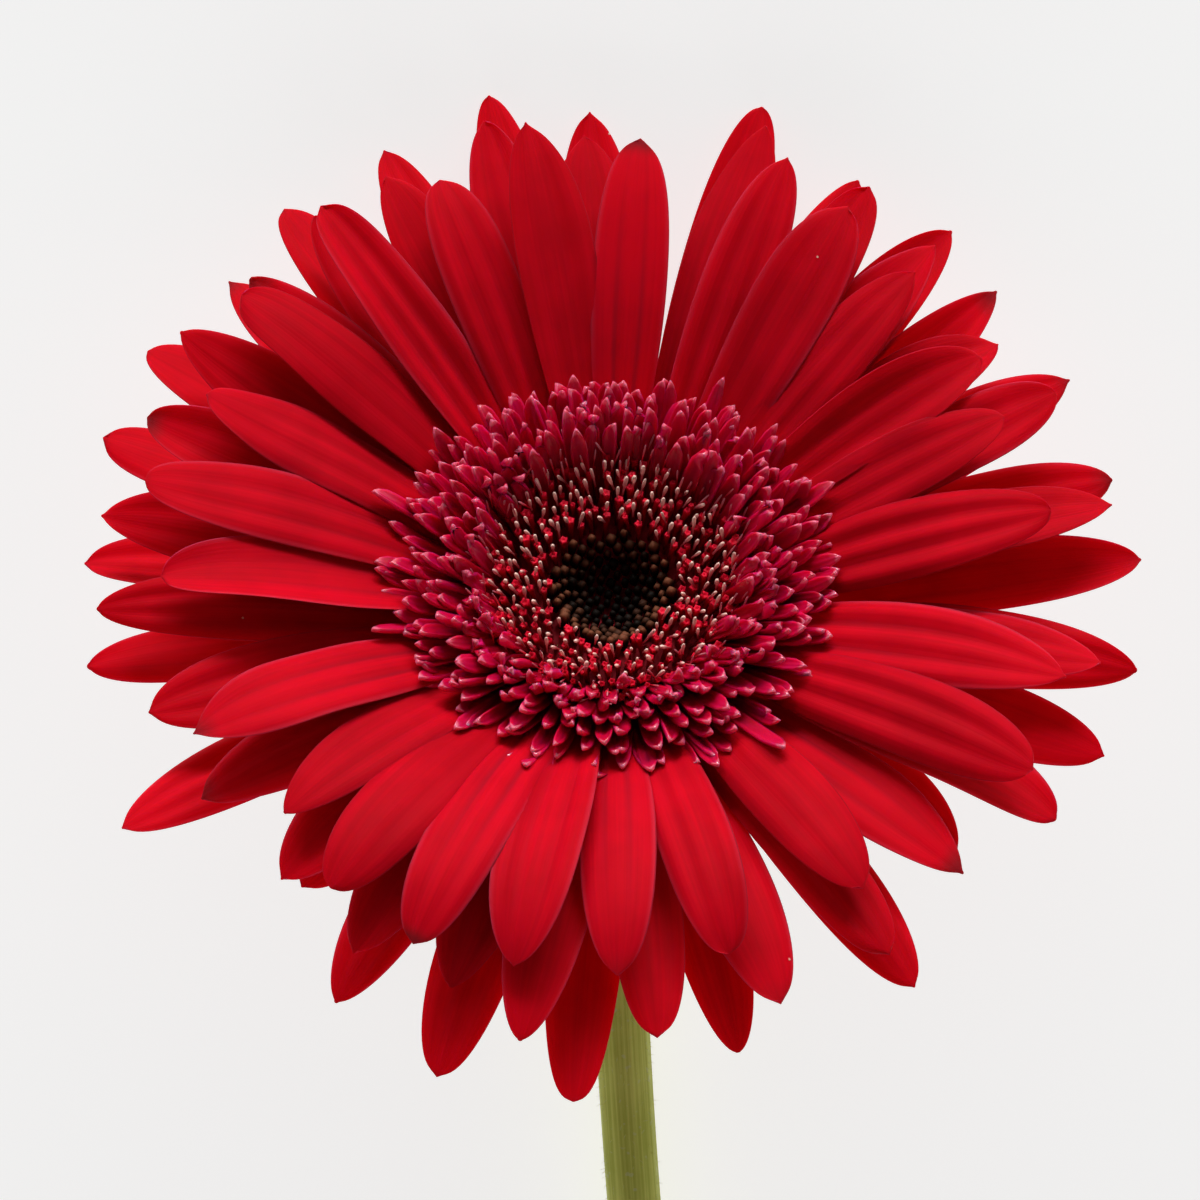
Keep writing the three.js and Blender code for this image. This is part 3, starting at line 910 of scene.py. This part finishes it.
class GERBERA_OT_bracts(bpy.types.Operator):
    """Adds the two rows of green bracts under the head"""

    bl_idname = "gerbera.bracts"
    bl_label = "Add bracts"

    def execute(self, context):
        sizes = context.scene.gerbera_bracts
        green = bract_green()
        for order, name in enumerate(("inner_bracts", "outer_bracts")):
            rng = np.random.default_rng(41 + order)
            tips = ring_tips(name)
            _, radius, height = polar(name)
            bracts = len(tips)
            feet = np.tile([radius.min() + 0.3 * MM, height.min() + 0.5 * MM], (bracts, 1))
            form = PLAIN_BLADE | {
                "half_width": sizes.half_width * rng.uniform(0.85, 1.1, bracts),
                "thickness": sizes.thickness,
                "arch": -0.1,
                "bend": rng.normal(0, 0.5, bracts) * MM,
                "roll": math.radians(12) * (1 - 2 * order),
                "widest": 0.35,
                "neck": 0.6,
                "blunt": 1.15,
                "cup": 0.22,
                "curl": rng.uniform(-0.5, 0.5, bracts) * MM,
                "pleat": 0.1 * MM,
            }
            made = with_tone(blades(feet, tips, form, along=18, around=14), rng.random(bracts))
            add_piece(name.replace("bracts", "scales"), *made, green, "bracts", name)
        return {"FINISHED"}


# --- The stem -------------------------------------------------------------------------------------

def stem_line(sizes, samples=400):
    """Points along the stem's middle line, from the cap's top to the middle of the cut, and its radius.

    It leaves straight down the head's axis, turns on a smooth bend about the corner where that line
    meets the resting one, and runs straight on. From the bend it sways sideways as a half cosine. The
    radius and the cut's middle come from the node's last corners.
    """
    corners = node_points("stem_and_receptacle")
    end = corners[corners[:, 1] > corners[:, 1].max() - CUT_LENGTH]
    radius = (end[:, 0].max() - end[:, 0].min()) / 2
    cut = (end.min(0) + end.max(0)) / 2
    neck = -HEAD_Z
    rest = np.array([0, math.cos(sizes.slope), -math.sin(sizes.slope)])
    start = HEAD_CENTRE + neck * STEM_START
    goal = np.array([start[0], cut[1], cut[2]])
    neck_length, _ = np.linalg.solve(np.stack([neck[1:], rest[1:]], 1), (goal - start)[1:])
    corner = start + neck * neck_length
    bend = sizes.bend * neck_length
    t = np.linspace(0, 1, samples)[:, None]
    into = corner - neck * bend
    out_of = corner + rest * bend
    curve = into * (1 - t) ** 2 + corner * 2 * t * (1 - t) + out_of * t**2
    top = HEAD_CENTRE + HEAD_Z * CAP_TOP
    line = np.concatenate([top + (into - top) * t[:-1], curve[:-1], out_of + (goal - out_of) * t])
    gone = np.clip((line[:, 1] - into[1]) / (goal[1] - into[1]), 0, 1)
    line[:, 0] += (cut[0] - start[0]) * (1 - np.cos(math.pi * gone)) / 2
    return line, radius


def stem_surface(sizes):
    """The stem and its cap as one marked tube, and the directions out of it and along it.

    It starts in the bowl under the eye, and comes out of it over the cap's rim. The radius is the cap's
    to CAP_DEPTH, eases to the stem's by half a cosine over CAP_TAPER, and then carries shallow ribs.
    The last sections slant to the cut and turn in to a sunken pith.
    """
    line, radius = stem_line(sizes)
    steps = np.linalg.norm(np.diff(line, axis=0), axis=1)
    gone = np.concatenate([[0], np.cumsum(steps)])
    whole = gone[-1]
    cap = np.array([3.8, 3.0, 1.6, 0, 0, 0.15, 0.6]) * MM
    cap_shares = np.array([0.04, 0.24, 0.42, 0.56, 0.955, 0.985, 1.0])
    neck = np.linspace(CAP_DEPTH, CAP_DEPTH + CAP_TAPER, 26)
    shaft = np.arange(CAP_DEPTH + CAP_TAPER + 2 * MM, whole - 1 * MM, 2 * MM)
    cut_shares = np.array([0.97, 0.90, 0.80, 0.55, 0.25, 0.06])
    depths = np.array([0, 0, 0.30, 0.45, 0.55, 0.58]) * MM
    distance = np.concatenate([cap, neck, shaft, [whole], np.full(len(depths), whole)])

    def at_sections(values):
        return np.stack([np.interp(distance, gone, column) for column in values.T], 1)

    middle = at_sections(line)
    ahead = unit(at_sections(np.gradient(line, gone, axis=0)))
    right = unit(HEAD_X - ahead * (ahead @ HEAD_X)[:, None])
    up = np.cross(ahead, right)
    eased = (1 + np.cos(math.pi * np.clip((distance - CAP_DEPTH) / CAP_TAPER, 0, 1))) / 2
    girth = radius + (CAP_RADIUS - radius) * eased
    girth[:len(cap)] = cap_shares * CAP_RADIUS
    girth[-len(depths):] *= cut_shares
    turn = np.linspace(0, math.tau, 56, endpoint=False)
    ribbed = np.clip((distance - CAP_DEPTH - CAP_TAPER) / (40 * MM), 0, 1)[:, None]
    lap = distance[:, None] / (70 * MM)
    ribs = 0.016 * np.cos(9 * turn + lap) + 0.010 * np.cos(14 * turn - 0.7 * lap)
    swelling = 0.018 * np.sin(distance / (17 * MM)) + 0.012 * np.sin(distance / (41 * MM))
    reach = girth[:, None] * (1 + ribbed * (ribs - 0.026 + swelling[:, None]))
    slant = np.clip(1 - (whole - distance) / (16 * MM), 0, 1)[:, None]
    sunk = np.zeros(len(distance))
    sunk[-len(depths):] = depths
    along = -slant * math.tan(sizes.cut) * reach * np.sin(turn) - sunk[:, None]
    outward = right[:, None] * np.cos(turn)[:, None] + up[:, None] * np.sin(turn)[:, None]
    points = middle[:, None] + outward * reach[..., None] + ahead[:, None] * along[..., None]
    section = np.arange(len(distance))[:, None]
    made = marked(
        points[None],
        across=np.cos(turn),
        face=np.sin(turn),
        along=(distance / whole)[:, None],
        pith=section >= len(distance) - len(depths),
        tone=section < len(cap) - 1,
    )
    return made, outward, ahead


def stem_skin():
    """Matte green with long pale lines, darker under the head, a crimson cap and a pale pith."""
    paint = Paint("stem_skin")
    across, face, along, pith, cap = paint.marks("across", "face", "along", "pith", "tone")
    place = paint.place()
    lines = paint.noise(paint.vector(across * 9, face * 9, along * 9), 1.0, 3.0)
    cloud = paint.noise(place, 120.0, 4.0)
    shade = lines * 0.6 + cloud * 0.4
    colour = paint.mix(shade.between(0.34, 0.66), "stem", "stem_light")
    colour = paint.mix(along.between(0.2, 0.0) * 0.5, colour, "leaf")
    freckle = paint.noise(place, 900.0, 1.0).between(0.66, 0.72)
    colour = paint.mix(freckle * 0.35, colour, "down")
    colour = paint.mix(cap, colour, "cup_foot")
    pores = paint.noise(place, 2600.0, 2.0)
    cut = paint.mix(pores.between(0.3, 0.6), "stem_light", "pith")
    colour = paint.mix(pith.between(0.3, 0.7), colour, cut)
    return paint.finish({
        "Base Color": colour,
        "Roughness": 0.6 + lines * 0.2,
        "Specular IOR Level": 0.2,
        "Sheen Weight": 0.12,
        "Sheen Roughness": 0.5,
        "Sheen Tint": (0.95, 1.0, 0.8, 1.0),
        "Normal": paint.bump(lines + cloud * 0.5 + pores * pith, 0.08 * MM),
    })


def hairs_on(points, outward, ahead, sizes, seed):
    """Short tapered hairs at random on a tube's shaft, leaning a little towards the cut end.

    The shaft is what lies between the close sections of the neck and the CUT_SECTIONS at the cut.
    """
    rng = np.random.default_rng(seed)
    first = int(np.argmax(np.linalg.norm(np.diff(points[:, 0], axis=0), axis=1) > 1.5 * MM))
    station = rng.integers(first, len(points) - CUT_SECTIONS, sizes.hairs)
    corner = rng.integers(0, points.shape[1], sizes.hairs)
    between = rng.random((sizes.hairs, 1))
    roots = points[station, corner] * (1 - between) + points[station + 1, corner] * between
    sway = rng.normal(0, 0.35, (sizes.hairs, 3))
    heading = unit(outward[station, corner] + 0.3 * ahead[station] + sway)
    long = sizes.hair_length * rng.uniform(0.5, 1.2, (sizes.hairs, 1))
    ends = roots + heading * long
    clear = ends[:, 2] > 0.1 * MM
    roots, ends = roots[clear], ends[clear]
    taper = [(0, 1.0), (0.5, 0.7), (1.0, 0.15)]
    girth = np.full(len(roots), 0.028 * MM)
    return rods(roots - heading[clear] * 0.1 * MM, ends, girth, taper, around=4)


class GERBERA_OT_stem(bpy.types.Operator):
    """Adds the stem, which widens into the cap that carries the petals, and its short hairs"""

    bl_idname = "gerbera.stem"
    bl_label = "Add stem"

    def execute(self, context):
        sizes = context.scene.gerbera_stem
        (points, marks), outward, ahead = stem_surface(sizes)
        node = "stem_and_receptacle"
        rested = above_table(points, 0.0)
        add_piece("stem_and_cap", rested, marks, stem_skin(), "stem", node)
        made = hairs_on(rested[0], outward, ahead, sizes, seed=13)
        made = with_tone(made, np.random.default_rng(14).random(len(made[0])))
        down = floret_flesh("stem_down", "stem_light", "down", 0.0, 0.5)
        add_piece("stem_hairs", *made, down, "stem", node)
        return {"FINISHED"}


# --- The studio -----------------------------------------------------------------------------------

def facing(back, up):
    """A turn that looks against `back`, with `up` as near upward as it can be."""
    back = unit(np.asarray(back, float))
    right = unit(np.cross(up, back))
    return Matrix(np.stack([right, np.cross(back, right), back], 1).tolist()).to_4x4()


def add_light(name, azimuth, elevation, distance, size, power):
    """A soft light of that width and height, looking at the head; azimuth 0 is the face's side."""
    level = np.array([math.sin(azimuth), -math.cos(azimuth), 0]) * math.cos(elevation)
    back = level + np.array([0, 0, math.sin(elevation)])
    lamp = bpy.data.lights.new(name, "AREA")
    lamp.shape = "RECTANGLE"
    lamp.size, lamp.size_y = size
    lamp.energy = power
    light = bpy.data.objects.new(name, lamp)
    bpy.context.scene.collection.objects.link(light)
    light.matrix_world = facing(back, (0, 0, 1))
    light.location = HEAD_CENTRE + back * distance
    light.visible_camera = False


def floor_paper(settings):
    """Matte pale paper with a faint unevenness and a glow of its own."""
    paint = Paint("floor_paper")
    cloud = paint.noise(paint.place(), 3.0, 2.0)
    darker = tuple(0.98 * value for value in settings.floor)
    colour = paint.mix(cloud, darker, settings.floor)
    return paint.finish({
        "Base Color": colour,
        "Roughness": 0.9,
        "Specular IOR Level": 0.1,
        "Emission Color": (1.0, 1.0, 0.995, 1.0),
        "Emission Strength": settings.floor_glow,
    })


def pale_room(settings):
    """A pale wall on the face's side and a dark room elsewhere; the camera sees a plain backdrop."""
    world = bpy.data.worlds.new("pale_room")
    world.use_nodes = True
    room = Nodes(world.node_tree)
    heading = room.node("ShaderNodeTexCoord", output="Generated")
    height = room.node("ShaderNodeSeparateXYZ", sockets={"Vector": heading}, output="Z")
    behind = room.node("ShaderNodeSeparateXYZ", sockets={"Vector": heading}, output="Y")
    pale, dark = [settings.walls] * 3, [settings.ceiling] * 3
    colour = room.mix(behind.between(-0.7, 0.3), pale, dark)
    colour = room.mix(height.between(0.15, 0.6), colour, dark)
    seen = room.node("ShaderNodeLightPath", output="Is Camera Ray")
    colour = room.mix(seen, colour, settings.backdrop)
    glow = room.node("ShaderNodeBackground", sockets={"Color": colour, "Strength": 1.0})
    output = room.tree.nodes.new("ShaderNodeOutputWorld")
    room.tree.links.new(glow.socket, output.inputs["Surface"])
    return world


class GERBERA_OT_studio(bpy.types.Operator):
    """Adds the pale floor, the soft lights and the camera"""

    bl_idname = "gerbera.studio"
    bl_label = "Add studio"

    def execute(self, context):
        """The camera looks down at the head with the face's side at the top of the picture."""
        settings = context.scene.gerbera_studio
        mesh = bpy.data.meshes.new("floor")
        signs = ((-1, -1), (1, -1), (1, 1), (-1, 1))
        mesh.from_pydata([(x * FLOOR_HALF, y * FLOOR_HALF, 0) for x, y in signs], [], [(0, 1, 2, 3)])
        mesh.materials.append(floor_paper(settings))
        floor = bpy.data.objects.new("floor", mesh)
        context.scene.collection.objects.link(floor)

        back = np.array([0, -math.cos(settings.elevation), math.sin(settings.elevation)])
        up = np.array([0, -math.sin(settings.elevation), -math.cos(settings.elevation)])
        lens = bpy.data.cameras.new("camera")
        lens.sensor_width = 36
        lens.lens = lens.sensor_width * settings.distance / settings.field
        lens.clip_start = 0.01
        camera = bpy.data.objects.new("camera", lens)
        context.scene.collection.objects.link(camera)
        camera.matrix_world = facing(back, up)
        aim = HEAD_CENTRE - HEAD_X * settings.aside + up * settings.over
        camera.location = aim + back * settings.distance
        context.scene.camera = camera

        key = (KEY_DISTANCE, KEY_SIZE, settings.key_power)
        add_light("key", 0.0, settings.key_elevation, *key)
        stem_light = (STEM_LIGHT_DISTANCE, STEM_LIGHT_SIZE, settings.back_power)
        add_light("stem light", math.pi, settings.back_elevation, *stem_light)
        context.scene.world = pale_room(settings)
        context.scene.view_settings.view_transform = "Standard"
        return {"FINISHED"}


# --- The panel, and what is run -------------------------------------------------------------------

STEPS = (
    GERBERA_OT_studio,
    GERBERA_OT_stem,
    GERBERA_OT_bracts,
    GERBERA_OT_lower_petals,
    GERBERA_OT_middle_petals,
    GERBERA_OT_front_petals,
    GERBERA_OT_tongue_florets,
    GERBERA_OT_disc_florets,
    GERBERA_OT_eye_buds,
)
GROUPS = {
    "gerbera_petals": PetalSizes,
    "gerbera_florets": FloretSizes,
    "gerbera_bracts": BractSizes,
    "gerbera_stem": StemSizes,
    "gerbera_colours": FlowerColours,
    "gerbera_studio": StudioSettings,
}


class GERBERA_PT_flower(bpy.types.Panel):
    """Lists the flower's sizes and colours, and a button for each group of pieces"""

    bl_idname = "GERBERA_PT_flower"
    bl_label = "Cut gerbera"
    bl_space_type = "VIEW_3D"
    bl_region_type = "UI"
    bl_category = "Gerbera"

    def draw(self, context):
        for name, group in GROUPS.items():
            box = self.layout.box()
            box.label(text=name.removeprefix("gerbera_").capitalize())
            for setting in group.__annotations__:
                box.prop(getattr(context.scene, name), setting)
        for step in STEPS:
            self.layout.operator(step.bl_idname)


CLASSES = (*GROUPS.values(), *STEPS, GERBERA_PT_flower)


def register():
    for each in CLASSES:
        bpy.utils.register_class(each)
    for name, group in GROUPS.items():
        setattr(bpy.types.Scene, name, bpy.props.PointerProperty(type=group))


def unregister():
    for name in GROUPS:
        delattr(bpy.types.Scene, name)
    for each in reversed(CLASSES):
        bpy.utils.unregister_class(each)


def main():
    """Registers the classes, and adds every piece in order."""
    register()
    for step in STEPS:
        getattr(bpy.ops.gerbera, step.bl_idname.removeprefix("gerbera."))()


if __name__ == "__main__":
    main()
